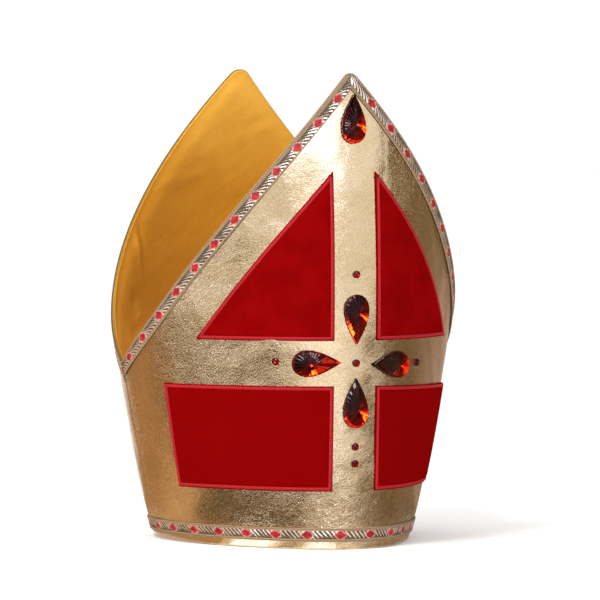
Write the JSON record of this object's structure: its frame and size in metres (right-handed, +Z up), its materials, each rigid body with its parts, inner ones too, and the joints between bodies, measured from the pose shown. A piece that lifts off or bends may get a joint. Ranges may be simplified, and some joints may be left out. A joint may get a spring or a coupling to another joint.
{
  "type": "bishop mitre",
  "caption": "Tall bishop's mitre: two pointed gold leatherette halves, satin lined, with red velvet panels leaving a gold cross, jacquard braid and cut red stones.",
  "frame": {"origin": "middle of the lower rim's plane, under the centre of the bounding box", "axes": "+Z up to the peaks, -Y to the front, where the stones are, +X to the right as seen from the front"},
  "size_m": [0.2366, 0.2262, 0.3214],
  "materials": {
    "gold_leatherette": "crinkled metallic gold",
    "ochre_satin": "satin",
    "red_velvet": "short pile",
    "jacquard_braid": "woven, with silver thread",
    "red_stone": "faceted, foil-backed"
  },
  "bodies": {
    "root": {"front_half": "gold_leatherette", "back_half": "gold_leatherette", "front_lining": "ochre_satin", "back_lining": "ochre_satin", "front_velvet_upper_left": "red_velvet", "front_velvet_upper_right": "red_velvet", "front_velvet_lower_left": "red_velvet", "front_velvet_lower_right": "red_velvet", "back_velvet_upper_left": "red_velvet", "back_velvet_upper_right": "red_velvet", "back_velvet_lower_left": "red_velvet", "back_velvet_lower_right": "red_velvet", "front_peak_braid": "jacquard_braid", "front_base_braid": "jacquard_braid", "back_peak_braid": "jacquard_braid", "back_base_braid": "jacquard_braid", "pear_stone_tip": "red_stone", "pear_stone_top": "red_stone", "pear_stone_left": "red_stone", "pear_stone_right": "red_stone", "pear_stone_bottom": "red_stone", "round_stone_upper": "red_stone", "round_stone_left": "red_stone", "round_stone_centre": "red_stone", "round_stone_right": "red_stone", "round_stone_lower": "red_stone", "round_stone_lowest": "red_stone"}
  },
  "joints": []
}
